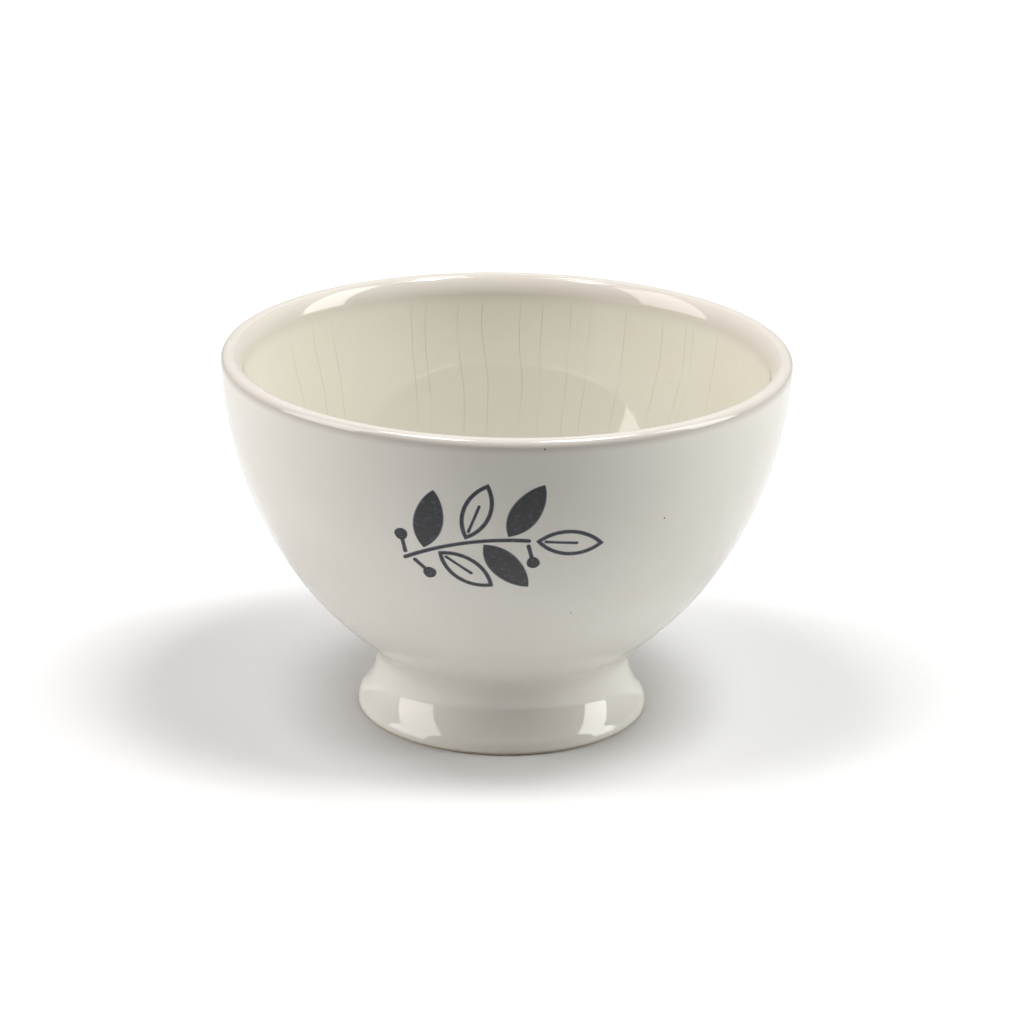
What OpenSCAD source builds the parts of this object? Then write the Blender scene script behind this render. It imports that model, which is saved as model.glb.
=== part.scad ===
// A glazed earthenware bowl on a flared foot, with a printed leaf sprig on its front.
// Lengths are in millimetres. The origin is the centre of the foot, on the table.
// +Z points up, and the printed side faces -Y.

/* [Bowl] */
// Width across the rim
rim_d = 140; // [125:1:165]
// Height from the table to the top of the lip
height = 92.6; // [84:0.2:104]
// Width of the lip, glaze included
lip_w = 4; // [3.8:0.1:5]
// Radius of the rounding on each edge of the lip
lip_r = 1.8; // [1.2:0.1:1.9]
// Radius of the softer bend that eases the lip's inner edge into the wall
ease_r = 6.5; // [4:0.5:8]
// Thickness of the bottom of the bowl, glaze included
floor_wall = 4.2; // [3.6:0.1:6.5]
// Angle of the wall at the lip, in degrees from upright
lip_angle = 2; // [0:0.5:6]
// Angle of the wall at the belly, in degrees from upright
belly_angle = 32; // [29:0.5:38]
// Angle of the wall where it meets the foot, in degrees from upright
under_angle = 52.5; // [47:0.5:58]
// Radius of the bend that carries the wall in under the bowl
base_r = 30; // [24:1:40]

/* [Foot] */
// Width across the toe of the foot
foot_d = 72.4; // [68:0.2:77]
// How far the toe stands out past the neck, the foot's least width
toe_out = 4.5; // [3:0.1:6]
// Height of the neck's least width above the table
neck_h = 13.2; // [12:0.1:15]
// Radius of the hollow between the neck and the wall
corner_r = 7.4; // [5:0.1:9]
// Radius of the swell at the toe of the foot
toe_r = 4; // [2:0.1:6]
// Thickness of the foot's wall at its neck
foot_wall = 4.6; // [3.5:0.1:6]
// Width of the flat ring that the bowl stands on
ring_w = 2.6; // [1.5:0.1:4]
// Radius of the rounding on each edge of that ring
ring_edge_r = 0.6; // [0.3:0.1:0.9]
// Thickness of the slip that joins the foot to the bowl
slip_t = 0.8; // [0.5:0.1:1.5]

/* [Glaze] */
// Thickness of the glaze
glaze_t = 0.4; // [0.2:0.05:0.6]
// Height of the bare clay under the edge of the outside glaze
bare_h = 0.6; // [0.4:0.1:1.5]
// Height of the bare clay inside the foot
recess_bare_h = 2.5; // [1.5:0.1:5]

/* [Print] */
// Thickness of the printed colour
print_t = 0.15; // [0.1:0.05:0.3]
// Distance from the top of the lip down to the middle of the stem
print_drop = 26.6; // [22:0.2:34]
// Distance from the bowl's axis to the middle of the stem, to the left
print_left = 9; // [4:0.5:14]
// Angle that turns the sprig, in degrees, so that its tip rises
print_angle = 13; // [4:1:20]
// Length of the stem
stem_len = 31; // [29:0.5:36]
// Radius of the stem's curve
stem_r = 48; // [40:1:70]
// Width of each printed line
line_w = 1.1; // [0.8:0.1:1.4]
// Length of each leaf
leaf_len = 16; // [13:0.5:17]
// Width of each leaf
leaf_w = 7.2; // [5.5:0.1:7.6]
// Angle between a leaf and the stem, in degrees
leaf_angle = 57; // [50:1:62]
// Gap between printed shapes, such as a leaf and the stem
print_gap = 0.5; // [0.3:0.1:0.8]
// Width of each berry
berry_d = 3.2; // [2.4:0.1:3.6]
// Length of a berry's stalk
stalk_len = 3.6; // [3:0.1:4.2]
// Angle between a stalk and the stem, in degrees
stalk_angle = 72; // [66:1:80]

/* [Hidden] */
$fn = 120;

// How far cutting shapes run past what they cut
overrun = 5;
// Segments in each arc of the section, from the lip to the middle of the base
lip_steps = 8;
ease_steps = 6;
belly_steps = 12;
under_steps = 9;
base_steps = 9;
corner_steps = 9;
neck_steps = 8;
toe_steps = 6;
edge_steps = 4;
// Segments in the printed stem
stem_steps = 12;

clay_colour = [0.87, 0.82, 0.73];
slip_colour = [0.80, 0.74, 0.64];
inner_colour = [0.93, 0.91, 0.83];
outer_colour = [0.93, 0.92, 0.89];
print_colour = [0.13, 0.13, 0.15];

rim_r = rim_d / 2;
foot_r = foot_d / 2;
neck_r = foot_r - toe_out;

// A station of the section is a point and the wall's lean there, in degrees.
// The lean is 0 on an upright wall and 90 on a level floor, and is negative where the foot flares.
function outward(lean) = [cos(lean), -sin(lean)];
function point(station) = station[0];
function lean_of(station) = station[1];
function last(list) = list[len(list) - 1];

// The point that an arc which starts at p reaches, going down from one lean to another.
// A negative radius makes a hollow arc.
function arc_end(p, radius, from, to) = p + radius * (outward(to) - outward(from));

// The stations along such an arc, without its first
function arc(start, radius, to, steps) = [
    for (i = [1 : steps])
        let (lean = lean_of(start) + (to - lean_of(start)) * i / steps)
            [arc_end(point(start), radius, lean_of(start), lean), lean]
];

// Surface of a list of stations, moved in by a depth
function inset(stations, depth) = [
    for (station = stations) point(station) - depth * outward(lean_of(station))
];
function reversed(list) = [for (i = [len(list) - 1 : -1 : 0]) list[i]];

// The two radii that carry a wall from p to q with the leans of the lip, the belly and the underside.
// They solve a pair of equations, one for the way across and one for the way down.
function wall_radii(p, q) =
    let (
        first = outward(belly_angle) - outward(lip_angle),
        second = outward(under_angle) - outward(belly_angle),
        way = q - p,
        area = first[0] * second[1] - first[1] * second[0]
    )
    [
        (way[0] * second[1] - way[1] * second[0]) / area,
        (first[0] * way[1] - first[1] * way[0]) / area
    ];

// Stations of a wall from p to q, without its first
function wall(p, q) =
    let (
        radii = wall_radii(p, q),
        belly = arc([p, lip_angle], radii[0], belly_angle, belly_steps)
    )
    concat(belly, arc(last(belly), radii[1], under_angle, under_steps));

// Lip: the middles of its two roundings. The inner one stops halfway down, at the lip's inner edge.
// There the softer bend takes over, down to where the wall has the lip's angle.
lip_out = [rim_r - lip_r, height - lip_r];
lip_in = [rim_r - lip_w + lip_r, height - lip_r];
edge_angle = 45;
lip_edge = [lip_in - lip_r * outward(edge_angle), edge_angle];
ease = arc(lip_edge, -ease_r, lip_angle, ease_steps);
side_out = lip_out + lip_r * outward(lip_angle);
side_in = point(last(ease));

// The outer side ends where the hollow above the neck begins
neck = [neck_r, neck_h];
wall_foot = arc_end(neck, -corner_r, 0, under_angle);
floor_foot = wall_foot - floor_wall * outward(under_angle);
outer_wall = concat([[side_out, lip_angle]], wall(side_out, wall_foot));
inner_wall = concat([lip_edge], ease, wall(side_in, floor_foot));

// Both sides bend in to a flat bottom
outer_base = arc(last(outer_wall), base_r, 90, base_steps);
inner_base = arc(last(inner_wall), base_r - floor_wall, 90, base_steps);
underside_z = point(last(outer_base))[1];

// Foot: a hollow neck and a swelling toe, whose shared lean follows from the two widths.
// Their radii add up to the length of the slope between them.
toe_z = bare_h + glaze_t;
flare = 2 * atan((foot_r - neck_r) / (neck_h - toe_z));
flare_r = (neck_h - toe_z) / sin(flare);
hollow = arc([wall_foot, under_angle], -corner_r, 0, corner_steps);
flared = arc(last(hollow), -(flare_r - toe_r), -flare, neck_steps);
toe = arc(last(flared), toe_r, 0, toe_steps);
foot_side = concat(hollow, flared, toe);

// Points round a middle at a radius, from one angle to another in equal steps.
// The first step is 1 where the outline has the starting point already.
function round_points(middle, radius, from, to, steps, first = 0) = [
    for (i = [first : steps])
        let (angle = from + (to - from) * i / steps)
            middle + radius * [cos(angle), sin(angle)]
];

// The lip's rounding at a depth below the glaze, from its inner edge over to its outer side,
// without its two ends, which belong to the walls
function lip(depth) = concat(
    round_points(lip_in, lip_r - depth, 180 - edge_angle, 90, lip_steps, 1),
    reversed(round_points(lip_out, lip_r - depth, -lip_angle, 90, lip_steps, 1))
);

// Section of the bowl's bottom up to the foot of the wall, at a depth below the glazed underside
module bottom_section(depth) {
    stations = concat([[wall_foot, under_angle]], outer_base);
    start = wall_foot - depth * outward(under_angle);
    top_z = wall_foot[1] + overrun;
    polygon(concat(
        [[0, top_z], [start[0] + overrun, top_z], start + [overrun, 0]],
        inset(stations, depth),
        [[0, underside_z + depth]]
    ));
}

// The inside of the foot: a cone from the ring up to the neck
clay_toe_r = foot_r - glaze_t;
ring_out_r = clay_toe_r - ring_edge_r;
ring_in_r = ring_out_r - ring_w;
recess_bottom = [ring_in_r - ring_edge_r, ring_edge_r];
recess_top = [neck_r - foot_wall, neck_h];
recess_slope = (recess_top[0] - recess_bottom[0]) / (recess_top[1] - recess_bottom[1]);
function recess_r(z) = recess_bottom[0] + recess_slope * (z - recess_bottom[1]);

// Section of the hollow inside the foot from a height up, narrowed by a coat of glaze
module recess_section(from_z, coat) {
    polygon([
        [0, from_z],
        [recess_r(from_z) - coat, from_z],
        [recess_r(wall_foot[1]) - coat, wall_foot[1]],
        [0, wall_foot[1]]
    ]);
}

// Section of the foot's clay, run up into the bowl's
module foot_section() {
    polygon(concat(
        inset(concat([[wall_foot, under_angle]], foot_side), glaze_t),
        round_points([ring_out_r, ring_edge_r], ring_edge_r, 0, -90, edge_steps),
        round_points([ring_in_r, ring_edge_r], ring_edge_r, -90, -180, edge_steps),
        [[recess_r(wall_foot[1]), wall_foot[1]]]
    ));
}

module bowl_body() {
    color(clay_colour)
    rotate_extrude()
    polygon(concat(
        [[0, point(last(inner_base))[1] - glaze_t]],
        reversed(inset(concat(inner_wall, inner_base), -glaze_t)),
        lip(glaze_t),
        inset(concat(outer_wall, outer_base), glaze_t),
        [[0, underside_z + glaze_t]]
    ));
}

module foot_ring() {
    color(clay_colour)
    rotate_extrude()
    difference() {
        foot_section();
        bottom_section(glaze_t - slip_t);
    }
}

// Slip fills the seam between the bowl and the foot, out to the hollow above the neck
module slip_joint() {
    color(slip_colour)
    rotate_extrude()
    difference() {
        intersection() {
            foot_section();
            bottom_section(glaze_t - slip_t);
        }
        bottom_section(glaze_t);
    }
}

// The inside glaze covers the floor and the wall, up to the lip's inner edge
module inner_glaze() {
    stations = concat(inner_wall, inner_base);
    color(inner_colour)
    rotate_extrude()
    polygon(concat(
        inset(stations, 0),
        [[0, point(last(stations))[1]], [0, point(last(stations))[1] - glaze_t]],
        reversed(inset(stations, -glaze_t))
    ));
}

// The outside glaze turns over the lip, runs down to the toe and ends there in a rounded edge
module outer_glaze() {
    stations = concat(outer_wall, foot_side);
    color(outer_colour)
    rotate_extrude()
    polygon(concat(
        [point(lip_edge)],
        lip(0),
        inset(stations, 0),
        round_points([clay_toe_r, toe_z], glaze_t, 0, -90, edge_steps, 1),
        reversed(inset(stations, glaze_t)),
        reversed(lip(glaze_t)),
        [point(lip_edge) + glaze_t * outward(edge_angle)]
    ));
}

// The glaze inside the foot covers the underside of the bowl and stops short of the ring
module recess_glaze() {
    color(outer_colour)
    rotate_extrude()
    difference() {
        recess_section(recess_bare_h, 0);
        bottom_section(glaze_t);
        difference() {
            recess_section(recess_bare_h - overrun, glaze_t);
            bottom_section(0);
        }
    }
}

// Printed sprig, drawn flat and seen from the front. Its stem is an arc about a middle below it.
// The places on it are shares of its length with a side, 1 for above, -1 for below and 0 for its tip.
solid_leaf_shares = [[0.17, 1], [0.62, -1], [0.81, 1]];
outlined_leaf_shares = [[0.26, -1], [0.49, 1], [1, 0]];
berry_shares = [[0.03, 1], [0.06, -1], [0.97, -1]];

// A leaf's vein, as shares of the leaf's length and of a line's width
vein_start_share = 1 / 8;
vein_len_share = 1 / 2;
vein_w_share = 3 / 4;

stem_turn = stem_len / stem_r * 180 / PI;
leaf_foot = line_w / 2 + print_gap;
leaf_side_r = (leaf_len * leaf_len + leaf_w * leaf_w) / (4 * leaf_w);

// The stem's direction at a share of its length, and the point there, moved up off its middle line
function stem_angle(share) = stem_turn * (1 / 2 - share);
function stem_point(share, off) =
    let (angle = stem_angle(share))
    (stem_r + off) * [-sin(angle), cos(angle)] - [0, stem_r];

// Draws its children at each of the places, turned away from the stem by the spread
module along_stem(places, spread) {
    for (place = places)
        translate(stem_point(place[0], 0))
        rotate(stem_angle(place[0]) + place[1] * spread)
        children();
}

// A leaf lies along +X with its foot at the origin, between two round sides
module leaf(margin) {
    intersection_for (side = [-1, 1])
        translate([leaf_len / 2, side * (leaf_side_r - leaf_w / 2)])
        circle(leaf_side_r - margin);
}

// A straight line along +X from the origin
module stroke(length, width) {
    translate([0, -width / 2])
    square([length, width]);
}

module stem_shape() {
    shares = [for (i = [0 : stem_steps]) i / stem_steps];
    polygon(concat(
        [for (share = shares) stem_point(share, line_w / 2)],
        reversed([for (share = shares) stem_point(share, -line_w / 2)])
    ));
}

module solid_leaf_shapes() {
    along_stem(solid_leaf_shares, leaf_angle)
        translate([leaf_foot, 0])
        leaf(0);
}

module outlined_leaf_shapes() {
    along_stem(outlined_leaf_shares, leaf_angle)
        translate([leaf_foot, 0]) {
            difference() {
                leaf(0);
                leaf(line_w);
            }
            translate([vein_start_share * leaf_len, 0])
            stroke(vein_len_share * leaf_len, vein_w_share * line_w);
        }
}

// Each berry has a stalk that stops short of the stem
module berry_shapes() {
    along_stem(berry_shares, stalk_angle)
        translate([leaf_foot, 0]) {
            stroke(stalk_len + berry_d / 2, line_w);
            translate([stalk_len + berry_d / 2, 0])
            circle(berry_d / 2);
        }
}

// Lays flat shapes on the front of the wall as a thin layer of colour
module printed() {
    color(print_colour)
    intersection() {
        rotate([90, 0, 0])
        linear_extrude(rim_r + overrun)
        translate([-print_left, height - print_drop])
        rotate(print_angle)
        children();
        rotate_extrude()
        polygon(concat(inset(outer_wall, -print_t), reversed(inset(outer_wall, 0))));
    }
}

module sprig_stem() {
    printed() stem_shape();
}

module solid_leaves() {
    printed() solid_leaf_shapes();
}

module outlined_leaves() {
    printed() outlined_leaf_shapes();
}

module sprig_berries() {
    printed() berry_shapes();
}

bowl_body();
foot_ring();
slip_joint();
inner_glaze();
outer_glaze();
recess_glaze();
sprig_stem();
solid_leaves();
outlined_leaves();
sprig_berries();
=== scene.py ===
"""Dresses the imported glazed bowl: smooth coats of glaze, a printed leaf sprig and soft studio light.

Lengths are in metres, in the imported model's frame: the foot stands on z = 0 and the print faces -Y.
"""

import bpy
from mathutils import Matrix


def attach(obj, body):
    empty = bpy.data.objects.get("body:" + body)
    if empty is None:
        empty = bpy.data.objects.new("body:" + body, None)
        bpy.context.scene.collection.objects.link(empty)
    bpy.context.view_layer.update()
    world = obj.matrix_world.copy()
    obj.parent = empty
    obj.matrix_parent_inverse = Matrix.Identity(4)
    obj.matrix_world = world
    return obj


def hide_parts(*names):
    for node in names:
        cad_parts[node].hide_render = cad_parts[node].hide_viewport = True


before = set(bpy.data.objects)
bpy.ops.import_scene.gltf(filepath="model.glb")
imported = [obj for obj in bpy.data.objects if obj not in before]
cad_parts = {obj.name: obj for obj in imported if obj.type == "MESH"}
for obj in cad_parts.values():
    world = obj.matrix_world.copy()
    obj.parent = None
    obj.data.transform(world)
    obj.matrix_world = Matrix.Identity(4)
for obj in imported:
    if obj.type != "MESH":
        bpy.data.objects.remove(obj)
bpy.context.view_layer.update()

import logging
import math
from dataclasses import dataclass
from enum import Enum
from functools import cached_property
from itertools import product
from typing import Callable

import bmesh
import bpy
from mathutils import Matrix, Vector

MM = 0.001
MERGE = 0.001 * MM  # Points nearer than this become one point.
SECTORS = 16  # A turned mesh is made as one sector and then copied round, so this is a power of two.
BODY = "root"
Colour = tuple[float, float, float, float]
Span = tuple[float, float]
Socket = bpy.types.NodeSocket
log = logging.getLogger("bowl")


class Slot(Enum):
    """The record's material slots."""

    CLAY = "clay"
    SLIP = "slip"
    INNER_GLAZE = "inner_glaze"
    OUTER_GLAZE = "outer_glaze"
    PRINT = "print"


@dataclass(frozen=True)
class Station:
    """One station of the bowl's section, which is turned about the upright axis.

    The lean is the wall's angle there in radians: 0 on an upright wall, a quarter turn on a level floor,
    and negative where the foot flares.
    """

    radius: float
    height: float
    lean: float

    def at_depth(self, depth: float) -> Vector:
        """Gives the point at a depth below the surface, in the XZ plane."""
        return Vector((self.radius - depth * math.cos(self.lean), 0,
                       self.height + depth * math.sin(self.lean)))


def arc(start: Station, radius: float, lean: float, steps: int) -> list[Station]:
    """Carries the section on along a round arc.

    Args:
        start: The station where the arc starts.
        radius: The arc's radius, negative for a hollow arc.
        lean: The lean that the arc ends with.
        steps: How many stations it gets.

    Returns:
        The arc's stations, without its start.
    """
    stations = []
    for step in range(1, steps + 1):
        there = start.lean + (lean - start.lean) * step / steps
        stations.append(Station(
            start.radius + radius * (math.cos(there) - math.cos(start.lean)),
            start.height - radius * (math.sin(there) - math.sin(start.lean)),
            there))
    return stations


def rounding(middle: Vector, radius: float, start: float, end: float, steps: int) -> list[Vector]:
    """Lists the points of a round edge of the section.

    Args:
        middle: The rounding's middle in the XZ plane.
        radius: Its radius.
        start: The angle where it starts, in radians from +X towards +Z.
        end: The angle where it ends.
        steps: How many steps it takes.

    Returns:
        The points after the first, which the section has already.
    """
    angles = [start + (end - start) * step / steps for step in range(1, steps + 1)]
    return [middle + radius * Vector((math.cos(angle), 0, math.sin(angle))) for angle in angles]


@dataclass(frozen=True)
class BowlSection:
    """The bowl's section from the lip down to the toe of its foot, as the part's source builds it.

    Names end in r for a radius, w for a width, h for a height, t for a thickness and lean for an angle.
    The steps say how many stations each stretch gets, from the top down.
    """

    rim_r: float = 70 * MM
    height: float = 92.6 * MM
    lip_w: float = 4 * MM
    lip_r: float = 1.8 * MM
    ease_r: float = 6.5 * MM
    floor_wall: float = 4.2 * MM
    lip_lean: float = math.radians(2)
    belly_lean: float = math.radians(32)
    under_lean: float = math.radians(52.5)
    base_r: float = 30 * MM
    foot_r: float = 36.2 * MM
    toe_out: float = 4.5 * MM
    neck_h: float = 13.2 * MM
    corner_r: float = 7.4 * MM
    toe_r: float = 4 * MM
    foot_wall: float = 4.6 * MM
    ring_w: float = 2.6 * MM
    ring_edge_r: float = 0.6 * MM
    glaze_t: float = 0.4 * MM
    bare_h: float = 0.6 * MM
    recess_bare_h: float = 2.5 * MM
    edge_lean: float = math.radians(45)
    outer_steps: tuple[int, int] = (64, 48)
    inner_steps: tuple[int, int] = (54, 40)
    ease_steps: int = 18
    base_steps: int = 30
    foot_steps: tuple[int, int, int] = (22, 24, 18)

    def _wall_radii(self, start: Station, end: Station) -> tuple[float, float]:
        """Solves the radii of the two arcs that carry a wall from one station to another.

        Args:
            start: The station at the top, with the lip's lean.
            end: The station at the foot of the wall, with the underside's lean.

        Returns:
            The radii of the belly's arc and of the arc under it.
        """
        leans = (start.lean, self.belly_lean, end.lean)
        ways = [Vector((math.cos(low) - math.cos(high), math.sin(high) - math.sin(low)))
                for high, low in zip(leans, leans[1:])]
        way = Vector((end.radius - start.radius, end.height - start.height))
        area = ways[0].cross(ways[1])
        return way.cross(ways[1]) / area, ways[0].cross(way) / area

    def _wall(self, start: Station, end: Station, steps: tuple[int, int]) -> list[Station]:
        """Lists a wall's stations between two others.

        Args:
            start: The station at the top.
            end: The station at the foot of the wall.
            steps: How many stations the belly and the underside get.

        Returns:
            The stations after the first, down to the foot of the wall.
        """
        belly_r, under_r = self._wall_radii(start, end)
        belly = arc(start, belly_r, self.belly_lean, steps[0])
        return belly + arc(belly[-1], under_r, end.lean, steps[1])

    @cached_property
    def lip_edge(self) -> Station:
        """The station where the inside glaze meets the outside glaze."""
        middle = Vector((self.rim_r - self.lip_w + self.lip_r, self.height - self.lip_r))
        lean = self.edge_lean
        return Station(middle.x - self.lip_r * math.cos(lean), middle.y + self.lip_r * math.sin(lean), lean)

    @cached_property
    def wall_foot(self) -> Station:
        """The station where the outer wall ends and the hollow above the neck begins."""
        neck = Station(self.foot_r - self.toe_out, self.neck_h, 0)
        return arc(neck, -self.corner_r, self.under_lean, 1)[0]

    @cached_property
    def outer_wall(self) -> list[Station]:
        """The outer wall's stations, from the lip down to the hollow above the neck."""
        lean = self.lip_lean
        top = Station(self.rim_r - self.lip_r * (1 - math.cos(lean)),
                      self.height - self.lip_r * (1 + math.sin(lean)), lean)
        return [top] + self._wall(top, self.wall_foot, self.outer_steps)

    @cached_property
    def inner_wall(self) -> list[Station]:
        """The inner wall's stations, from the lip's inner edge down to where the floor begins."""
        ease = arc(self.lip_edge, -self.ease_r, self.lip_lean, self.ease_steps)
        foot = self.wall_foot.at_depth(self.floor_wall)
        end = Station(foot.x, foot.z, self.under_lean)
        return [self.lip_edge] + ease + self._wall(ease[-1], end, self.inner_steps)

    @cached_property
    def inner_floor(self) -> list[Station]:
        """The stations of the bowl's floor, where it bends in to level."""
        return arc(self.inner_wall[-1], self.base_r - self.floor_wall, math.pi / 2, self.base_steps)

    @cached_property
    def underside(self) -> list[Station]:
        """The stations of the underside inside the foot."""
        return arc(self.wall_foot, self.base_r, math.pi / 2, self.base_steps)

    @cached_property
    def foot_side(self) -> list[Station]:
        """The stations of the foot's outside, from the hollow above the neck down to the toe."""
        drop = self.neck_h - self.toe_z
        flare = 2 * math.atan(self.toe_out / drop)
        hollow_steps, flare_steps, toe_steps = self.foot_steps
        hollow = arc(self.wall_foot, -self.corner_r, 0, hollow_steps)
        flared = arc(hollow[-1], self.toe_r - drop / math.sin(flare), -flare, flare_steps)
        return hollow + flared + arc(flared[-1], self.toe_r, 0, toe_steps)

    @property
    def toe_z(self) -> float:
        """The height where the outside glaze begins to round off at the toe."""
        return self.bare_h + self.glaze_t

    def recess_r(self, height: float) -> float:
        """Gives the radius of the cone inside the foot at a height."""
        bottom = self.foot_r - self.glaze_t - self.ring_w - 2 * self.ring_edge_r
        top = self.foot_r - self.toe_out - self.foot_wall
        share = (height - self.ring_edge_r) / (self.neck_h - self.ring_edge_r)
        return bottom + (top - bottom) * share

    def lip(self, depth: float, steps: int) -> list[Vector]:
        """Lists the points over the lip, from its inner edge to its outer side, without the two ends.

        Args:
            depth: How deep below the surface they lie.
            steps: How many steps each of the lip's two roundings takes.

        Returns:
            The points in order.
        """
        radius, top = self.lip_r - depth, self.height - self.lip_r
        inner = Vector((self.rim_r - self.lip_w + self.lip_r, 0, top))
        outer = Vector((self.rim_r - self.lip_r, 0, top))
        quarter = math.pi / 2
        return (rounding(inner, radius, math.pi - self.edge_lean, quarter, steps)
                + [outer + Vector((0, 0, radius))]
                + rounding(outer, radius, quarter, -self.lip_lean, steps)[:-1])

    def wall_at(self, height: float) -> Station:
        """Finds the outer wall's station at a height between its ends."""
        walls = self.outer_wall
        low = next(i for i, station in enumerate(walls) if station.height <= height)
        above, below = walls[low - 1], walls[low]
        share = (above.height - height) / (above.height - below.height)
        return Station(above.radius + (below.radius - above.radius) * share, height,
                       above.lean + (below.lean - above.lean) * share)


@dataclass(frozen=True)
class Wave:
    """One wave of a ripple, with its count round the bowl and its turn per metre of height."""

    count: int
    slope: float
    start: float
    share: float


@dataclass(frozen=True)
class Ripple:
    """The slight unevenness of a dipped and turned surface, a few hundredths of a millimetre high.

    It rises between two heights above the toe and falls between two heights below the lip.
    """

    swell: float = 0.05 * MM
    waves: tuple[Wave, ...] = (
        Wave(3, 60, 0.4, 0.45), Wave(5, -95, 2.2, 0.3), Wave(8, 150, 4.1, 0.15), Wave(13, -260, 1.3, 0.1))
    rises: Span = (1.5 * MM, 8 * MM)
    falls: Span = (84 * MM, 89.5 * MM)

    def at(self, point: Vector) -> float:
        """Gives how far the surface stands proud at a point.

        Args:
            point: The point on the even surface.

        Returns:
            The height of the ripple there in metres, which fades out at the toe and at the lip.
        """
        turn = math.atan2(point.y, point.x)
        total = sum(wave.share * math.sin(wave.count * turn + wave.slope * point.z + wave.start)
                    for wave in self.waves)
        grown = (point.z - self.rises[0]) / (self.rises[1] - self.rises[0])
        gone = (self.falls[1] - point.z) / (self.falls[1] - self.falls[0])
        return self.swell * max(0.0, min(1.0, grown, gone)) * total


def new_object(name: str, data: bpy.types.ID) -> bpy.types.Object:
    """Puts a new object into the scene."""
    made = bpy.data.objects.new(name, data)
    bpy.context.scene.collection.objects.link(made)
    return made


class Piece:
    """A piece of the scene, with its mesh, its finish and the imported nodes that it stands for."""

    def __init__(self, name: str, mesh: bmesh.types.BMesh, finish: "Finish", nodes: tuple[str, ...]) -> None:
        """Makes the object from its mesh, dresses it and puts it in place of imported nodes.

        Args:
            name: The piece's name.
            mesh: Its finished mesh, in place.
            finish: What it is dressed with.
            nodes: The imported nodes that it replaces.
        """
        data = bpy.data.meshes.new(name)
        mesh.to_mesh(data)
        data.shade_smooth()
        mesh.free()
        self.object = new_object(name, data)
        data.materials.append(finish.material())
        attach(self.object, BODY)
        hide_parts(*nodes)
        log.info("%s stands for %s with %d faces", name, ", ".join(nodes), len(data.polygons))


def turned(shown: list[Vector], hidden: list[Vector], steps: int, ripple: Ripple) -> bmesh.types.BMesh:
    """Turns a closed outline in the XZ plane about the upright axis, and lays a ripple on its shown side.

    Args:
        shown: The outline's shown points in order. Some points may lie on the axis.
        hidden: The points that take the outline back to its start.
        steps: How many steps the full turn takes, a multiple of the number of sectors.
        ripple: The unevenness of the shown side.

    Returns:
        The mesh, with its faces pointing outwards.
    """
    mesh = bmesh.new()
    layer = mesh.verts.layers.float.new("shown")
    verts = [mesh.verts.new(point) for point in shown + hidden]
    for vert in verts[:len(shown)]:
        vert[layer] = 1
    edges = [mesh.edges.new(pair) for pair in zip(verts, verts[1:] + verts[:1])
             if max(vert.co.x for vert in pair) > 0]
    bmesh.ops.spin(mesh, geom=verts + edges, cent=(0, 0, 0), axis=(0, 0, 1), angle=math.tau / SECTORS,
                   steps=steps // SECTORS)
    sectors = SECTORS
    while sectors > 1:
        copies = bmesh.ops.duplicate(mesh, geom=mesh.verts[:] + mesh.edges[:] + mesh.faces[:])["geom"]
        bmesh.ops.rotate(mesh, verts=[item for item in copies if isinstance(item, bmesh.types.BMVert)],
                         cent=(0, 0, 0), matrix=Matrix.Rotation(math.tau / sectors, 3, "Z"))
        sectors //= 2
    bmesh.ops.remove_doubles(mesh, verts=mesh.verts, dist=MERGE)
    bmesh.ops.recalc_face_normals(mesh, faces=mesh.faces)
    for vert in mesh.verts:
        if vert[layer]:
            vert.co += vert.normal * ripple.at(vert.co)
    return mesh


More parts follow.
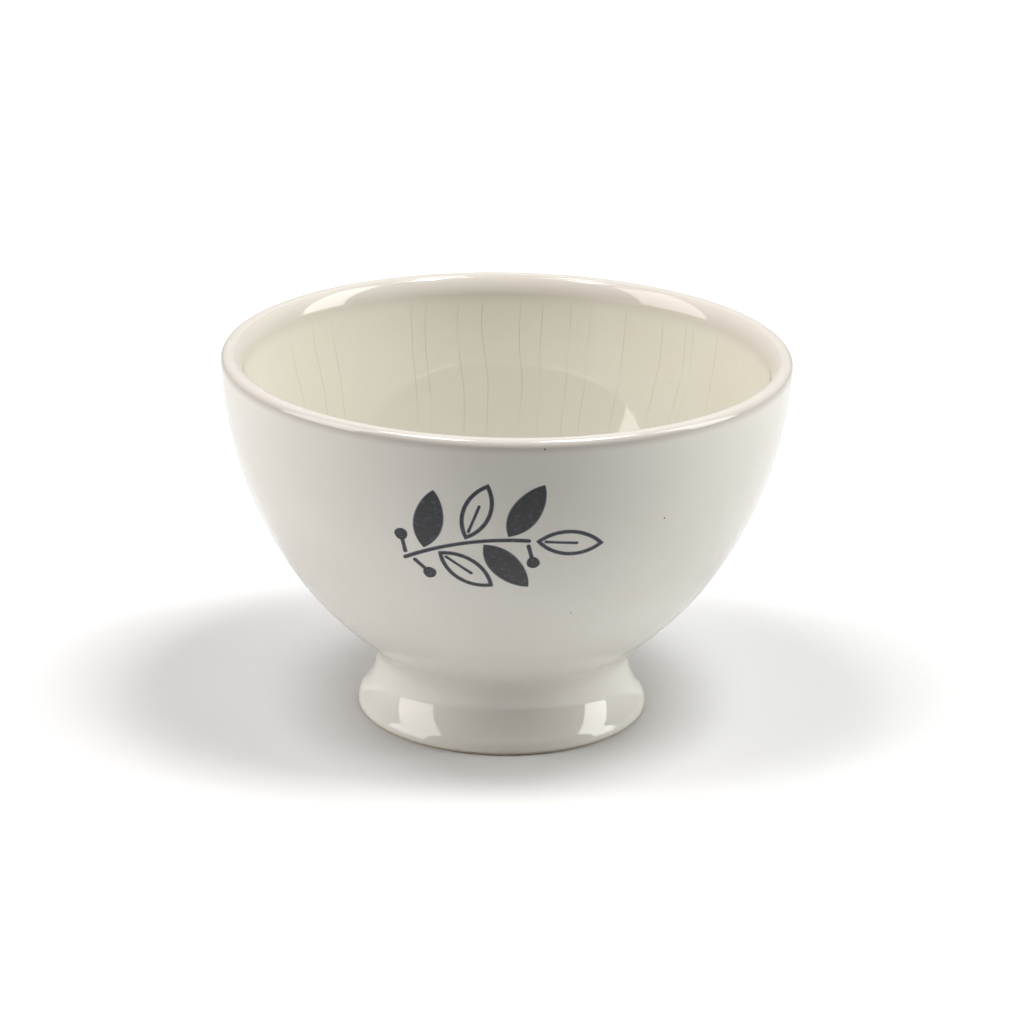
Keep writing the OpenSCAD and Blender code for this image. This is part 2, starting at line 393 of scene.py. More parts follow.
@dataclass(frozen=True)
class GlazeCoats:
    """The three coats of glaze: inside the bowl, outside it with the foot, and inside the foot."""

    section: BowlSection
    ripple: Ripple
    inside_finish: "Finish"
    outside_finish: "Finish"
    steps: int = 288
    lip_steps: int = 12
    toe_steps: int = 4
    back_every: int = 4
    corner_dip: float = 1 / 4

    def build(self) -> list[Piece]:
        """Builds the three coats."""
        return [self._inner(), self._outer(), self._recess()]

    def _coat(self, name: str, node: str, shown: list[Vector], hidden: list[Vector],
              finish: "Finish") -> Piece:
        """Turns a coat's outline into its piece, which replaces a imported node."""
        return Piece(name, turned(shown, hidden, self.steps, self.ripple), finish, (node,))

    def _back(self, stations: list[Station], depth: float) -> list[Vector]:
        """Lists the points of a coat's hidden side from its far end back, with fewer stations."""
        kept = stations[::-self.back_every]
        if kept[-1] is not stations[0]:
            kept = kept + [stations[0]]
        return [station.at_depth(depth) for station in kept]

    def _inner(self) -> Piece:
        """Builds the inside coat, from the lip's inner edge down over the floor."""
        stations, depth = self.section.inner_wall + self.section.inner_floor, self.section.glaze_t
        floor = stations[-1].height
        shown = [station.at_depth(0) for station in stations] + [Vector((0, 0, floor))]
        hidden = [Vector((0, 0, floor - depth))] + self._back(stations, -depth)
        return self._coat("inside_glaze_coat", "inner_glaze", shown, hidden, self.inside_finish)

    def _outer(self) -> Piece:
        """Builds the outside coat, over the lip and down to the toe, where it ends in a rounded edge."""
        section, depth = self.section, self.section.glaze_t
        stations = section.outer_wall + section.foot_side
        toe = Vector((section.foot_r - depth, 0, section.toe_z))
        shown = ([section.lip_edge.at_depth(0)] + section.lip(0, self.lip_steps)
                 + [station.at_depth(0) for station in stations]
                 + rounding(toe, depth, 0, -math.pi / 2, self.toe_steps))
        hidden = (self._back(stations, depth) + section.lip(depth, self.lip_steps // 2)[::-1]
                  + [section.lip_edge.at_depth(-depth)])
        return self._coat("outside_glaze_coat", "outer_glaze", shown, hidden, self.outside_finish)

    def _recess(self) -> Piece:
        """Builds the coat inside the foot, from its lower edge up over the underside of the bowl."""
        section, depth = self.section, self.section.glaze_t
        stations = [station for station in section.underside
                    if station.radius < section.recess_r(station.height) - depth]
        low, high, middle = section.recess_bare_h, stations[0].height, stations[-1].height
        low_r, high_r = section.recess_r(low), section.recess_r(high)
        shown = ([Vector((low_r - depth, 0, low + depth)),
                  Vector((high_r - depth, 0, high - depth * self.corner_dip))]
                 + [station.at_depth(0) for station in stations[1:]]
                 + [Vector((0, 0, middle))])
        hidden = ([Vector((0, 0, middle + depth))] + self._back(stations, depth)
                  + [Vector((high_r, 0, high + depth)), Vector((low_r, 0, low))])
        return self._coat("foot_recess_glaze_coat", "recess_glaze", shown, hidden, self.outside_finish)


@dataclass(frozen=True)
class Grain:
    """The make-up of a noise: how fine it is, how many layers it has and how strong the finer ones are."""

    scale: float
    detail: float = 2
    roughness: float = 0.5


class NodeSheet:
    """Lays out shader nodes in a node tree."""

    def __init__(self, tree: bpy.types.NodeTree) -> None:
        """Keeps the tree that the nodes go into."""
        self.tree = tree

    @classmethod
    def on(cls, owner: bpy.types.Material | bpy.types.World) -> "NodeSheet":
        """Gives a new material or world an empty sheet."""
        owner.use_nodes = True
        owner.node_tree.nodes.clear()
        return cls(owner.node_tree)

    def feed(self, node: bpy.types.Node, inputs: dict) -> None:
        """Gives a node's inputs their values, or links them to sockets, by name or number."""
        for key, value in inputs.items():
            if isinstance(value, Socket):
                self.tree.links.new(value, node.inputs[key])
            else:
                node.inputs[key].default_value = value

    def add(self, kind: str, inputs: dict | None = None, **settings) -> bpy.types.Node:
        """Adds a node.

        Args:
            kind: The node's type, without its ShaderNode start.
            inputs: Values or sockets for its inputs, by name or number.
            settings: Its own settings.

        Returns:
            The node.
        """
        node = self.tree.nodes.new("ShaderNode" + kind)
        for key, value in settings.items():
            setattr(node, key, value)
        self.feed(node, inputs or {})
        return node

    def math(self, operation: str, *values) -> Socket:
        """Adds a Math node and gives its result."""
        return self.add("Math", dict(enumerate(values)), operation=operation).outputs[0]

    def vector(self, operation: str, inputs: dict, output: str = "Vector") -> Socket:
        """Adds a Vector Math node and gives its result."""
        return self.add("VectorMath", inputs, operation=operation).outputs[output]

    def remap(self, value, start: float, end: float, low: float = 0, high: float = 1) -> Socket:
        """Adds a smooth Map Range node and gives its result."""
        inputs = {0: value, 1: start, 2: end, 3: low, 4: high}
        return self.add("MapRange", inputs, interpolation_type="SMOOTHSTEP").outputs[0]

    def blend(self, share, first, second) -> Socket:
        """Adds a Mix node for two colours, whose sockets go by number, and gives its result."""
        return self.add("Mix", {0: share, 6: first, 7: second}, data_type="RGBA").outputs[2]

    def noise(self, vector: Socket, grain: Grain) -> Socket:
        """Adds a Noise Texture and gives its value."""
        return self.add("TexNoise", {"Vector": vector, "Scale": grain.scale, "Detail": grain.detail,
                                     "Roughness": grain.roughness}).outputs[0]

    def place(self) -> Socket:
        """Adds the place on the object, in the object's own frame."""
        return self.add("TexCoord").outputs["Object"]


def colour(red: float, green: float, blue: float) -> Colour:
    """Gives a scene colour from the three shares of a screen colour."""
    def scene(share: float) -> float:
        """Turns one share from the screen's standard scale to the scene's."""
        return share / 12.92 if share <= 0.04045 else ((share + 0.055) / 1.055) ** 2.4
    return scene(red), scene(green), scene(blue), 1


def effect(name: str, inputs: dict[str, str], output: str,
           lay: Callable[[NodeSheet, dict[str, Socket]], Socket]) -> bpy.types.NodeTree:
    """Builds a node group once, for every material that uses its effect.

    Args:
        name: The group's name.
        inputs: The type of each input, by name.
        output: The name of its output, which is a plain number.
        lay: Lays out its nodes, from its input sockets to the socket of its output.

    Returns:
        The group.
    """
    if name in bpy.data.node_groups:
        return bpy.data.node_groups[name]
    tree = bpy.data.node_groups.new(name, "ShaderNodeTree")
    for key, kind in inputs.items():
        tree.interface.new_socket(key, in_out="INPUT", socket_type="NodeSocket" + kind)
    tree.interface.new_socket(output, in_out="OUTPUT", socket_type="NodeSocketFloat")
    entry, end = tree.nodes.new("NodeGroupInput"), tree.nodes.new("NodeGroupOutput")
    made = lay(NodeSheet(tree), {key: entry.outputs[key] for key in inputs})
    tree.links.new(made, end.inputs[output])
    return tree


def mottle() -> bpy.types.NodeTree:
    """Gives the effect of a glaze that lies thicker here and there, as a share of its second colour."""
    broad_grain, fine_grain, fine_share = Grain(38), Grain(260, 3), 0.3
    thin, thick = 0.35, 0.65

    def lay(sheet: NodeSheet, given: dict[str, Socket]) -> Socket:
        """Mixes a broad and a fine noise."""
        broad = sheet.math("MULTIPLY", sheet.noise(given["Vector"], broad_grain), 1 - fine_share)
        fine = sheet.math("MULTIPLY", sheet.noise(given["Vector"], fine_grain), fine_share)
        return sheet.remap(sheet.math("ADD", broad, fine), thin, thick)
    return effect("Glaze mottle", {"Vector": "Vector"}, "Share", lay)


def specks() -> bpy.types.NodeTree:
    """Gives the effect of the few iron specks in a glaze, as a mask."""
    cells_per_metre, edge, solid = 105, 1.0, 0.5

    def lay(sheet: NodeSheet, given: dict[str, Socket]) -> Socket:
        """Marks the places near the middles of large random cells."""
        cells = sheet.add("TexVoronoi", {"Vector": given["Vector"], "Scale": cells_per_metre}).outputs
        chance = sheet.add("SeparateColor", {0: cells["Color"]}).outputs[0]
        size = sheet.math("MULTIPLY", given["Size"], chance)
        away = sheet.math("DIVIDE", cells["Distance"], cells_per_metre)
        return sheet.remap(sheet.math("DIVIDE", away, size), edge, solid)
    return effect("Iron specks", {"Vector": "Vector", "Size": "Float"}, "Mask", lay)


def glaze_skin() -> bpy.types.NodeTree:
    """Gives the height of the fine unevenness that softens what a glaze reflects."""
    broad_grain, fine_grain, fine_share = Grain(120, 1), Grain(900), 0.12

    def lay(sheet: NodeSheet, given: dict[str, Socket]) -> Socket:
        """Adds a fine grain to a broader swell."""
        fine = sheet.math("MULTIPLY", sheet.noise(given["Vector"], fine_grain), fine_share)
        return sheet.math("ADD", sheet.noise(given["Vector"], broad_grain), fine)
    return effect("Glaze skin", {"Vector": "Vector"}, "Height", lay)


@dataclass(frozen=True)
class Finish:
    """A finish with its record slot. Its material is made once."""

    name: str
    slot: Slot

    def material(self) -> bpy.types.Material:
        """Gives the finish's material."""
        if self.name in bpy.data.materials:
            return bpy.data.materials[self.name]
        made = bpy.data.materials.new(self.name)
        sheet = NodeSheet.on(made)
        shader = sheet.add("BsdfPrincipled")
        self.lay(sheet, shader)
        sheet.add("OutputMaterial", {"Surface": shader.outputs[0]})
        return made

    def lay(self, sheet: NodeSheet, shader: bpy.types.Node) -> None:
        """Lays out the nodes that feed the shader.

        Args:
            sheet: The material's node sheet.
            shader: The shader.
        """
        raise NotImplementedError


@dataclass(frozen=True)
class Hairlines:
    """The hairlines of a crazed glaze, each of which wanders up the wall from its own place.

    The places are angles round the bowl in degrees, from the back towards +X.
    """

    places: tuple[float, ...]
    width: float = 0.15 * MM
    core: float = 1 / 3
    depth: float = 0.02 * MM
    tone: Colour = colour(0.62, 0.6, 0.48)
    share: float = 0.4
    sway_grain: Grain = Grain(26, 2, 0.35)
    sway: float = 0.09
    sway_squash: float = 1.4
    wear_grain: Grain = Grain(70)
    wear_range: Span = (0.38, 0.55)
    least_worn: float = 0.25
    fades_in: Span = (40 * MM, 60 * MM)
    fades_out: Span = (83 * MM, 88 * MM)

    def mask(self, sheet: NodeSheet, place: Socket, parts: bpy.types.NodeOutputs) -> Socket:
        """Marks the hairlines.

        Args:
            sheet: The material's node sheet.
            place: The place on the surface.
            parts: The three parts of that place.

        Returns:
            The mask's socket.
        """
        turn = sheet.math("ARCTAN2", parts[0], parts[1])
        squashed = sheet.add("Mapping", {"Vector": place, "Scale": (1, 1, self.sway_squash)}).outputs[0]
        to_side = sheet.math("SUBTRACT", sheet.noise(squashed, self.sway_grain), 0.5)
        moved = sheet.math("ADD", turn, sheet.math("MULTIPLY", to_side, self.sway))
        gaps = [sheet.math("ABSOLUTE", sheet.math("SUBTRACT", moved, math.radians(line)))
                for line in self.places]
        nearest = gaps[0]
        for gap in gaps[1:]:
            nearest = sheet.math("MINIMUM", nearest, gap)
        level = sheet.add("CombineXYZ", {0: parts[0], 1: parts[1]}).outputs[0]
        away = sheet.math("MULTIPLY", nearest, sheet.vector("LENGTH", {0: level}, "Value"))
        line_mask = sheet.remap(away, self.width, self.width * self.core)
        worn = sheet.remap(sheet.noise(place, self.wear_grain), *self.wear_range, self.least_worn, 1)
        upper = sheet.math("MULTIPLY", sheet.remap(parts[2], *self.fades_in),
                           sheet.remap(parts[2], *self.fades_out[::-1]))
        return sheet.math("MULTIPLY", line_mask, sheet.math("MULTIPLY", worn, upper))


@dataclass(frozen=True)
class Glaze(Finish):
    """A glossy glaze, mottled and specked, that thins out at the lip, where its darker colour is partly the
    thin glaze and partly painted shade that tones down the lamps' light on the lip's top.

    It may take a darker colour lower down, a painted shade that stands in for the shade deep inside the bowl,
    and may be crazed with hairlines.
    """

    wall_colour: Colour
    # The lip's colour is partly the thin glaze and partly painted shade against the lamps' light on its top.
    thin_and_shaded_lip_colour: Colour
    deep_colour: Colour
    deep_share: float = 0.5
    # Painted shade: a darker colour from near the lip down to the floor, for the shade deep inside the bowl.
    painted_shade_colour: Colour | None = None
    painted_shade_from: float = 84 * MM
    painted_shade_to: float = 45 * MM
    painted_shade_share: float = 0.9
    thin_and_shaded_lip_from: float = 84.5 * MM
    thin_and_shaded_lip_to: float = 91 * MM
    roughness: float = 0.03
    index: float = 1.56
    skin_height: float = 0.015 * MM
    speck_size: float = 0.35 * MM
    speck_colour: Colour = colour(0.42, 0.36, 0.28)
    hairlines: Hairlines | None = None

    def _tone(self, sheet: NodeSheet, place: Socket, up: Socket) -> Socket:
        """Lays out the glaze's colour without its hairlines.

        Args:
            sheet: The material's node sheet.
            place: The place on the surface.
            up: The height of that place.

        Returns:
            The colour's socket.
        """
        share = sheet.add("Group", {"Vector": place}, node_tree=mottle()).outputs[0]
        tone = sheet.blend(sheet.math("MULTIPLY", share, self.deep_share), self.wall_colour, self.deep_colour)
        # Painted shade: darker towards the bottom of the inside, standing in for the shade deep in the bowl.
        if self.painted_shade_colour:
            painted_depth_shade = sheet.remap(up, self.painted_shade_from, self.painted_shade_to, 0, self.painted_shade_share)
            tone = sheet.blend(painted_depth_shade, tone, self.painted_shade_colour)
        # The lip's darker colour: partly thin glaze, partly painted shade that tones down the lamps' light on
        # the lip's top.
        tone = sheet.blend(sheet.remap(up, self.thin_and_shaded_lip_from, self.thin_and_shaded_lip_to), tone, self.thin_and_shaded_lip_colour)
        speck = sheet.add("Group", {"Vector": place, "Size": self.speck_size}, node_tree=specks()).outputs[0]
        return sheet.blend(speck, tone, self.speck_colour)

    def lay(self, sheet: NodeSheet, shader: bpy.types.Node) -> None:
        """Lays out the glaze, with its hairlines where it has any."""
        place = sheet.place()
        parts = sheet.add("SeparateXYZ", {0: place}).outputs
        tone = self._tone(sheet, place, parts[2])
        height = sheet.add("Group", {"Vector": place}, node_tree=glaze_skin()).outputs[0]
        if self.hairlines:
            mask = self.hairlines.mask(sheet, place, parts)
            tone = sheet.blend(sheet.math("MULTIPLY", mask, self.hairlines.share), tone, self.hairlines.tone)
            groove = sheet.math("MULTIPLY", mask, self.hairlines.depth / self.skin_height)
            height = sheet.math("SUBTRACT", height, groove)
        bump = sheet.add("Bump", {"Height": height, "Distance": self.skin_height})
        sheet.feed(shader, {"Base Color": tone, "Normal": bump.outputs[0],
                            "Roughness": self.roughness, "IOR": self.index})


@dataclass(frozen=True)
class Clay(Finish):
    """Bare or covered fired clay, with a fine grain."""

    main_colour: Colour
    grain_colour: Colour
    roughness: float = 0.85
    grain: Grain = Grain(1400, 4, 0.6)
    grain_range: Span = (0.45, 0.7)
    grain_height: float = 0.05 * MM

    def lay(self, sheet: NodeSheet, shader: bpy.types.Node) -> None:
        """Lays out the clay's grain."""
        grain = sheet.noise(sheet.place(), self.grain)
        tone = sheet.blend(sheet.remap(grain, *self.grain_range), self.main_colour, self.grain_colour)
        bump = sheet.add("Bump", {"Height": grain, "Distance": self.grain_height})
        sheet.feed(shader, {"Base Color": tone, "Normal": bump.outputs[0], "Roughness": self.roughness})


@dataclass(frozen=True)
class Ink(Finish):
    """Printed colour under a thin gloss, with a bluish edge where it has bled into the glaze."""

    ink_colour: Colour
    worn_colour: Colour
    edge_colour: Colour
    roughness: float = 0.14
    wear: Grain = Grain(900, 3, 0.6)
    wear_range: Span = (0.5, 0.75)

    def lay(self, sheet: NodeSheet, shader: bpy.types.Node) -> None:
        """Lays out the ink, from its edge attribute in."""
        patchy = sheet.noise(sheet.place(), self.wear)
        inside = sheet.add("Attribute", attribute_name="inside").outputs["Fac"]
        tone = sheet.blend(sheet.remap(patchy, *self.wear_range), self.ink_colour, self.worn_colour)
        tone = sheet.blend(sheet.remap(inside, 0, 1), self.edge_colour, tone)
        sheet.feed(shader, {"Base Color": tone, "Roughness": self.roughness})


StemPlaces = tuple[tuple[float, int], ...]
PrintPoint = tuple[Vector, float]
PrintShape = Callable[[float, float], PrintPoint]


def eased(share: float) -> float:
    """Eases a share from 0 to 1, so that even steps crowd at both ends."""
    return 0.5 - 0.5 * math.cos(math.pi * share)


@dataclass(frozen=True)
class Sprig:
    """The leaf sprig printed on the front. It is drawn flat and then laid on the wall.

    Flat points have +X to the right and +Y up, as seen from the front. A place on the stem is a share of its
    length with a side, 1 for above, -1 for below and 0 for its tip. A printed shape is a function that gives
    the flat point at a share along it (0 to 1) and across it (-1 to 1), and how deep inside its edge that is.
    """

    section: BowlSection
    ripple: Ripple
    ink: Finish
    drop: float = 26.6 * MM
    left: float = 9 * MM
    turn: float = math.radians(13)
    stem_len: float = 31 * MM
    stem_r: float = 48 * MM
    line_w: float = 1.1 * MM
    leaf_len: float = 16 * MM
    leaf_w: float = 7.2 * MM
    leaf_spread: float = math.radians(57)
    gap: float = 0.5 * MM
    berry_d: float = 3.2 * MM
    stalk_len: float = 3.6 * MM
    stalk_spread: float = math.radians(72)
    stalk_sunk: float = 1 / 4
    solid_leaves: StemPlaces = ((0.17, 1), (0.62, -1), (0.81, 1))
    outlined_leaves: StemPlaces = ((0.26, -1), (0.49, 1), (1, 0))
    berries: StemPlaces = ((0.03, 1), (0.06, -1), (0.97, -1))
    vein_start: float = 1 / 8
    vein_len: float = 1 / 2
    vein_w: float = 3 / 4
    proud: float = 0.05 * MM
    edge_proud: float = 0.3
    sunk: float = 0.1 * MM
    soft_edge: float = 0.22 * MM
    wobble: float = 0.05
    line_waves: float = 9
    line_shift: float = 400
    leaf_waves: float = 7
    along: int = 48
    across: int = 12

    def build(self) -> list[Piece]:
        """Builds the stem, the two kinds of leaves and the berries."""
        solid = self._on_stem(self.solid_leaves, self.leaf_spread)
        outlined = self._on_stem(self.outlined_leaves, self.leaf_spread)
        stalks = self._on_stem(self.berries, self.stalk_spread)
        return [
            self._printed("stem_print", "sprig_stem", [Matrix.Identity(4)], self._stem),
            self._printed("solid_leaf_print", "solid_leaves", solid, self._leaf),
            self._printed("outlined_leaf_print", "outlined_leaves", outlined, self._outline, self._vein),
            self._printed("berry_print", "sprig_berries", stalks, self._stalk, self._berry),
        ]

    def _stem_angle(self, share: float) -> float:
        """Gives the stem's direction at a share of its length."""
        return self.stem_len / self.stem_r * (0.5 - share)

    def _stem_point(self, share: float, off: float) -> Vector:
        """Gives the point at a share of the stem's length, moved up off its middle line."""
        angle = self._stem_angle(share)
        reach = self.stem_r + off
        return Vector((-reach * math.sin(angle), reach * math.cos(angle) - self.stem_r, 0))

    def _on_stem(self, places: StemPlaces, spread: float) -> list[Matrix]:
        """Gives the transforms that set a shape's foot beside the stem.

        Args:
            places: The places on the stem.
            spread: The angle between the shape and the stem.

        Returns:
            For each place the transform from the shape's own flat frame to the stem's.
        """
        foot = Matrix.Translation((self.line_w / 2 + self.gap, 0, 0))
        return [Matrix.Translation(self._stem_point(share, 0))
                @ Matrix.Rotation(self._stem_angle(share) + side * spread, 4, "Z") @ foot
                for share, side in places]

    def _line(self, start: float, length: float, width: float, along: float, across: float) -> PrintPoint:
        """Places one point of a straight line with round ends along +X.

        Args:
            start: Where the line starts.
            length: How long it is.
            width: How wide it is.
            along: The point's share along it.
            across: The point's place across it.

        Returns:
            The flat point, and how deep it lies inside the line's edge.
        """
        reach = length * eased(along)
        end = min(1.0, min(reach, length - reach) / (width / 2))
        half = width / 2 * math.sqrt(max(0.0, 1 - (1 - end) ** 2))
        half *= 1 + self.wobble * math.sin(self.line_waves * along + self.line_shift * start)
        return Vector((start + reach, half * across, 0)), half * (1 - abs(across))

    def _stem(self, along: float, across: float) -> PrintPoint:
        """Places one point of the stem."""
        flat, inside = self._line(0, self.stem_len, self.line_w, along, across)
        return self._stem_point(flat.x / self.stem_len, flat.y), inside

    @property
    def _leaf_r(self) -> float:
        """The radius of a leaf's two sides."""
        return (self.leaf_len ** 2 + self.leaf_w ** 2) / (4 * self.leaf_w)

    def _half_leaf(self, reach: float, margin: float) -> float:
        """Gives half a leaf's width at a distance from its foot, less a margin."""
        inner = (self._leaf_r - margin) ** 2 - (reach - self.leaf_len / 2) ** 2
        return max(0.0, math.sqrt(max(inner, 0.0)) - (self._leaf_r - self.leaf_w / 2))

    def _leaf(self, along: float, across: float) -> PrintPoint:
        """Places one point of a solid leaf."""
        reach = self.leaf_len * eased(along)
        half = self._half_leaf(reach, 0) * (1 + self.wobble * math.sin(self.leaf_waves * along))
        return Vector((reach, half * across, 0)), half * (1 - abs(across))

    def _outline(self, along: float, across: float) -> PrintPoint:
        """Places one point of a leaf's outline, which goes round the leaf from its foot."""
        tip = math.sqrt((self._leaf_r - self.line_w) ** 2 - (self._leaf_r - self.leaf_w / 2) ** 2)
        side = 1 if along < 0.5 else -1
        share = eased(2 * along if along < 0.5 else 2 - 2 * along)
        outer_x = self.leaf_len * share
        inner_x = self.leaf_len / 2 + tip * (2 * share - 1)
        outer = Vector((outer_x, side * self._half_leaf(outer_x, 0), 0))
        inner = Vector((inner_x, side * self._half_leaf(inner_x, self.line_w), 0))
        return inner.lerp(outer, 0.5 + 0.5 * across), self.line_w / 2 * (1 - abs(across))

    def _vein(self, along: float, across: float) -> PrintPoint:
        """Places one point of a leaf's vein."""
        return self._line(self.vein_start * self.leaf_len, self.vein_len * self.leaf_len,
                          self.vein_w * self.line_w, along, across)

    def _stalk(self, along: float, across: float) -> PrintPoint:
        """Places one point of a berry's stalk, which ends inside the berry."""
        return self._line(0, self.stalk_len + self.stalk_sunk * self.berry_d, self.line_w, along, across)

    def _berry(self, along: float, across: float) -> PrintPoint:
        """Places one point of a round berry."""
        return self._line(self.stalk_len, self.berry_d, self.berry_d, along, across)

    def _printed(self, name: str, node: str, transforms: list[Matrix], *shapes: PrintShape) -> Piece:
        """Builds one piece of the print from its flat shapes.

        Args:
            name: The piece's name.
            node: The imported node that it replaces.
            transforms: The transforms that its shapes are repeated with.
            shapes: The shapes.

        Returns:
            The piece, laid on the wall.
        """
        mesh = bmesh.new()
        layer = mesh.verts.layers.float.new("inside")
        to_wall = (Matrix.Translation((-self.left, self.section.height - self.drop, 0))
                   @ Matrix.Rotation(self.turn, 4, "Z"))
        for transform, shape in product(transforms, shapes):
            grid = bmesh.ops.create_grid(mesh, x_segments=self.along, y_segments=self.across, size=1)
            for vert in grid["verts"]:
                along, across = 0.5 + 0.5 * vert.co.x, math.sin(vert.co.y * math.pi / 2)
                flat, inside = shape(along, across)
                vert.co = to_wall @ transform @ flat
                vert[layer] = min(1.0, inside / self.soft_edge)
        bmesh.ops.remove_doubles(mesh, verts=mesh.verts, dist=MERGE)
        bmesh.ops.dissolve_degenerate(mesh, edges=mesh.edges, dist=MERGE)
        raised = bmesh.ops.extrude_face_region(mesh, geom=mesh.faces[:], use_keep_orig=True)["geom"]
        top = {item for item in raised if isinstance(item, bmesh.types.BMVert)}
        for vert in mesh.verts:
            grown = self.edge_proud + (1 - self.edge_proud) * vert[layer]
            vert.co = self._on_wall(vert.co, self.proud * grown if vert in top else -self.sunk)
        bmesh.ops.recalc_face_normals(mesh, faces=mesh.faces)
        return Piece(name, mesh, self.ink, (node,))

    def _on_wall(self, flat: Vector, level: float) -> Vector:
        """Lays a flat point on the front of the wall.

        Args:
            flat: The point, with +Y up.
            level: How far it stands off the wall.

        Returns:
            The point on the wall.
        """
        station = self.section.wall_at(flat.y)
        depth = math.sqrt(station.radius ** 2 - flat.x ** 2)
        point = Vector((flat.x, -depth, flat.y))
        out = math.cos(station.lean) / station.radius
        normal = Vector((flat.x * out, -depth * out, -math.sin(station.lean)))
        return point + normal * (level + self.ripple.at(point))


@dataclass(frozen=True)
class DomePanel:
    """A soft-edged patch of the studio's surroundings.

    Its middle's azimuth counts from the front to the right. All angles are in degrees.
    """

    azimuth: float
    half_width: float
    low: float
    high: float
    glow: float
    tint: tuple[float, float, float] = (1, 1, 1)
    edge: float = 1

    def light(self, sheet: NodeSheet, azimuth: Socket, elevation: Socket) -> Socket:
        """Lays out the patch.

        Args:
            sheet: The surroundings' node sheet.
            azimuth: The socket of a direction's azimuth, in radians.
            elevation: The socket of its elevation.

        Returns:
            The patch's light, which is black outside it.
        """
        half, edge, low, high, middle = (math.radians(angle) for angle in (
            self.half_width, self.edge, self.low, self.high, self.azimuth))
        off_middle = sheet.math("WRAP", sheet.math("SUBTRACT", azimuth, middle), math.pi, -math.pi)
        across = sheet.remap(sheet.math("ABSOLUTE", off_middle), half + edge, half - edge)
        upward = sheet.math("MULTIPLY", sheet.remap(elevation, low - edge, low + edge),
                            sheet.remap(elevation, high + edge, high - edge))
        share = sheet.math("MULTIPLY", sheet.math("MULTIPLY", across, upward), self.glow)
        return sheet.vector("SCALE", {0: self.tint, "Scale": share})


@dataclass(frozen=True)
class SoftLamp:
    """A square lamp that hangs above the bowl and faces the middle of its foot."""

    name: str
    place: tuple[float, float, float]
    size: float
    power: float

    def hang(self) -> None:
        """Puts the lamp in the scene."""
        light = bpy.data.lights.new(self.name, "AREA")
        light.shape, light.size, light.energy = "SQUARE", self.size, self.power
        lamp = new_object(self.name, light)
        lamp.location = self.place
        lamp.rotation_euler = Vector(self.place).to_track_quat("Z", "Y").to_euler()


@dataclass(frozen=True)
class Studio:
    """The plain floor, the lamps above and the soft surroundings.

    The floor's brightness to the camera grows between two distances from the origin. The light that it
    throws back fades between two distances from the white sheet's centre, behind the bowl.
    """

    panels: tuple[DomePanel, ...]
    lamps: tuple[SoftLamp, ...]
    floor_r: float = 5
    floor_segments: int = 96
    floor_shown: Span = (0.655, 1.0)
    shown_grows: Span = (0.2, 0.75)
    floor_bounce: Span = (0.62, 0.16)
    sheet_centre: float = 0.45
    bounce_fades: Span = (0.5, 0.8)
    dome_glow: float = 0.02

    def build(self) -> None:
        """Builds the floor, the lamps and the surroundings."""
        self._floor()
        for lamp in self.lamps:
            lamp.hang()
        self._dome()

    def _floor(self) -> None:
        """Builds the round floor under the foot."""
        mesh = bmesh.new()
        bmesh.ops.create_circle(mesh, cap_ends=True, segments=self.floor_segments, radius=self.floor_r)
        data = bpy.data.meshes.new("studio_floor")
        mesh.to_mesh(data)
        mesh.free()
        data.materials.append(self._floor_material())
        new_object("studio_floor", data)

    def _floor_material(self) -> bpy.types.Material:
        """Makes the floor's material, with one brightness for the camera and one for other light."""
        made = bpy.data.materials.new("Studio floor")
        sheet = NodeSheet.on(made)
        place = sheet.place()
        reach = sheet.vector("LENGTH", {0: place}, "Value")
        off_sheet = sheet.vector("DISTANCE", {0: place, 1: (0, self.sheet_centre, 0)}, "Value")
        shown, bounced = (sheet.add("BsdfDiffuse", {"Color": share}).outputs[0] for share in (
            sheet.remap(reach, *self.shown_grows, *self.floor_shown),
            sheet.remap(off_sheet, *self.bounce_fades, *self.floor_bounce)))
        seen = sheet.add("LightPath").outputs["Is Camera Ray"]
        sheet.add("OutputMaterial", {0: sheet.add("MixShader", {0: seen, 1: bounced, 2: shown}).outputs[0]})
        return made

    def _dome(self) -> None:
        """Makes the pale surroundings out of the panels."""
        world = bpy.data.worlds.new("Studio dome")
        bpy.context.scene.world = world
        sheet = NodeSheet.on(world)
        way = sheet.add("SeparateXYZ", {0: sheet.add("TexCoord").outputs["Generated"]}).outputs
        azimuth = sheet.math("ARCTAN2", way[0], sheet.math("MULTIPLY", way[1], -1))
        elevation = sheet.math("ARCSINE", way[2])
        light = (self.dome_glow,) * 3
        for panel in self.panels:
            light = sheet.vector("ADD", {0: light, 1: panel.light(sheet, azimuth, elevation)})
        sheet.add("OutputWorld", {"Surface": sheet.add("Background", {"Color": light}).outputs[0]})


@dataclass(frozen=True)
class Viewpoint:
    """The camera at the photograph's viewing angle, which aims at a point above the foot's middle."""

    distance: float = 950 * MM
    elevation: float = math.radians(19.672)
    roll: float = math.radians(0.980)
    aim_x: float = 1.862 * MM
    aim_z: float = 50.485 * MM
    lens: float = 134.34
    sensor: float = 36
    clip: Span = (0.05, 20)

    def place(self) -> None:
        """Puts the camera in the scene and makes it the scene's own."""
        look = Vector((0, math.cos(self.elevation), -math.sin(self.elevation)))
        up = Vector((0, math.sin(self.elevation), math.cos(self.elevation)))
        right = Vector((1, 0, 0))
        tilted_right = math.cos(self.roll) * right + math.sin(self.roll) * up
        tilted_up = math.cos(self.roll) * up - math.sin(self.roll) * right
        camera = new_object("viewpoint", bpy.data.cameras.new("viewpoint"))
        camera.data.lens, camera.data.sensor_width = self.lens, self.sensor
        camera.data.sensor_fit = "HORIZONTAL"
        camera.data.clip_start, camera.data.clip_end = self.clip
        turn = Matrix((tilted_right, tilted_up, -look)).transposed().to_4x4()
        aim = Vector((self.aim_x, 0, self.aim_z))
        camera.matrix_world = Matrix.Translation(aim - self.distance * look) @ turn
        bpy.context.scene.camera = camera


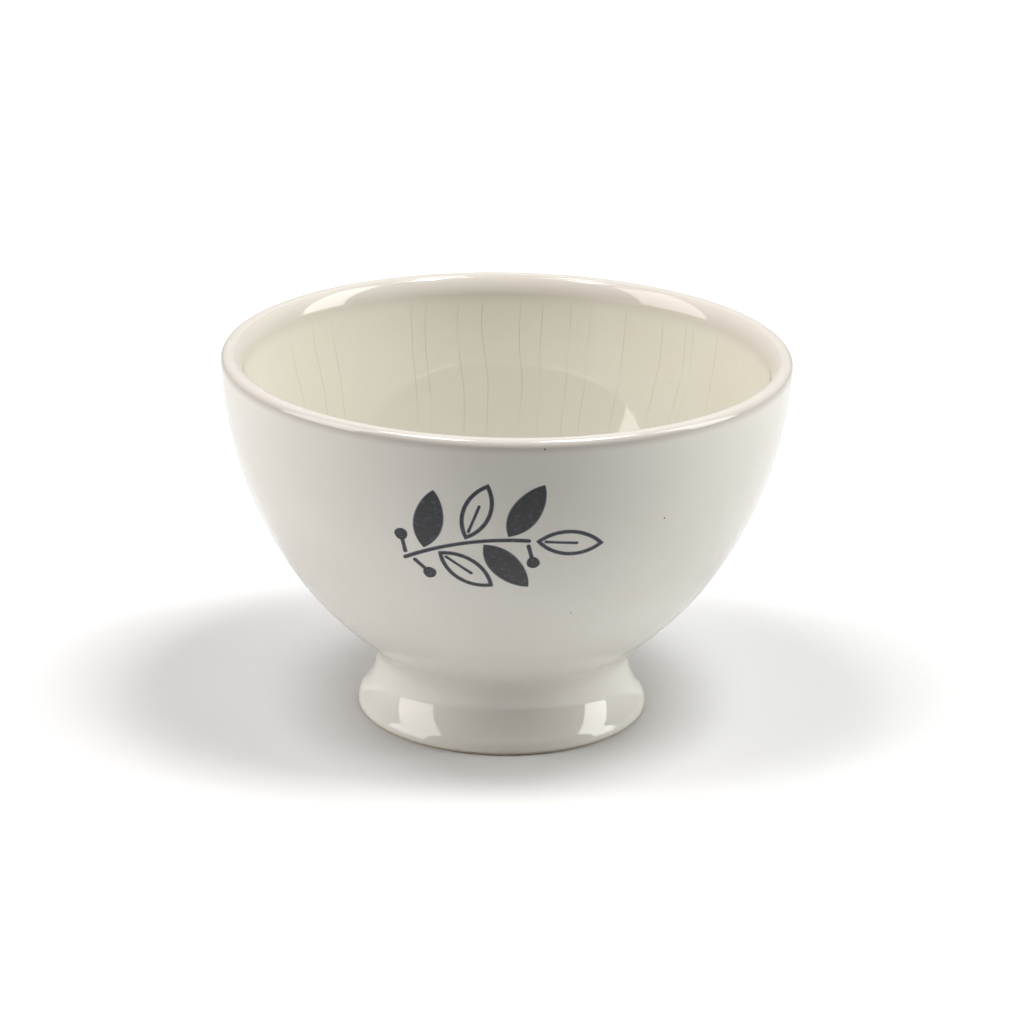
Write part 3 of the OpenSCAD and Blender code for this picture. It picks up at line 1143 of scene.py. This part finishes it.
def photo_studio() -> Studio:
    """Gives the studio: a bright panel on each side, a dim one behind each, and two lamps above."""
    return Studio(
        panels=(
            DomePanel(azimuth=-79, half_width=18.5, low=0, high=52, glow=3.9, tint=(1, 0.965, 0.94),
                      edge=0.8),
            DomePanel(azimuth=89, half_width=12, low=0, high=52, glow=5.6, tint=(1, 1, 0.96), edge=0.8),
            DomePanel(azimuth=-140, half_width=40, low=0, high=50, glow=0.45),
            DomePanel(azimuth=140, half_width=40, low=0, high=50, glow=0.45)),
        lamps=(
            SoftLamp("left_lamp", place=(-0.46, -0.15, 1.5), size=0.5, power=12.5),
            SoftLamp("right_lamp", place=(0.46, -0.15, 1.5), size=0.5, power=18)))


def glazes() -> tuple[Glaze, Glaze]:
    """Gives the creamier, crazed inside glaze and the outside glaze."""
    # The lip colour is partly thin glaze and partly painted shade that tones down the lamps' light on the
    # lip's top.
    lip = colour(0.755, 0.73, 0.7)
    crazing = Hairlines((-58.2, -50.3, -44.4, -22.8, -19.3, -11.2, -5.2, 3.4, 8, 14.5, 19.2, 27.8, 37.7, 44.6,
                         47, 55.1, 83, 97, 104, 121, 133, 140, 158, 171, -166, -149, -143, -127, -110, -98,
                         -81))
    # The inside glaze's darker colour lower down is painted shade, for the shade deep in the bowl.
    inside = Glaze("Inside glaze", Slot.INNER_GLAZE, wall_colour=colour(0.84, 0.829, 0.783), thin_and_shaded_lip_colour=lip,
                   deep_colour=colour(0.825, 0.809, 0.753), painted_shade_colour=colour(0.745, 0.73, 0.682),
                   hairlines=crazing)
    outside = Glaze("Outside glaze", Slot.OUTER_GLAZE, wall_colour=colour(0.882, 0.871, 0.84), thin_and_shaded_lip_colour=lip,
                    deep_colour=colour(0.867, 0.851, 0.815), thin_and_shaded_lip_from=89 * MM, thin_and_shaded_lip_to=91.5 * MM)
    return inside, outside


def dress_nodes(finishes: dict[str, Finish]) -> None:
    """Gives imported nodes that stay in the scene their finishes.

    Args:
        finishes: The finish for each node, by the node's name.
    """
    for name, finish in finishes.items():
        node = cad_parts[name]
        node.data.materials.clear()
        node.data.materials.append(finish.material())
        log.info("%s keeps its packed shape, in %s", name, finish.name)


def main() -> None:
    """Builds the viewpoint, the studio and the bowl's pieces in order."""
    logging.basicConfig(level=logging.INFO, format="%(name)s: %(message)s")
    bpy.context.scene.view_settings.view_transform = "Standard"
    Viewpoint().place()
    photo_studio().build()
    section, ripple = BowlSection(), Ripple()
    clay = Clay("Fired clay", Slot.CLAY, main_colour=colour(0.86, 0.81, 0.73),
                grain_colour=colour(0.78, 0.71, 0.6))
    slip = Clay("Joining slip", Slot.SLIP, main_colour=colour(0.8, 0.74, 0.64),
                grain_colour=colour(0.72, 0.65, 0.54))
    ink = Ink("Sprig ink", Slot.PRINT, ink_colour=colour(0.16, 0.16, 0.18),
              worn_colour=colour(0.27, 0.27, 0.3), edge_colour=colour(0.6, 0.62, 0.68))
    dress_nodes({"bowl_body": clay, "foot_ring": clay, "slip_joint": slip})
    GlazeCoats(section, ripple, *glazes()).build()
    Sprig(section, ripple, ink).build()


if __name__ == "__main__":
    main()
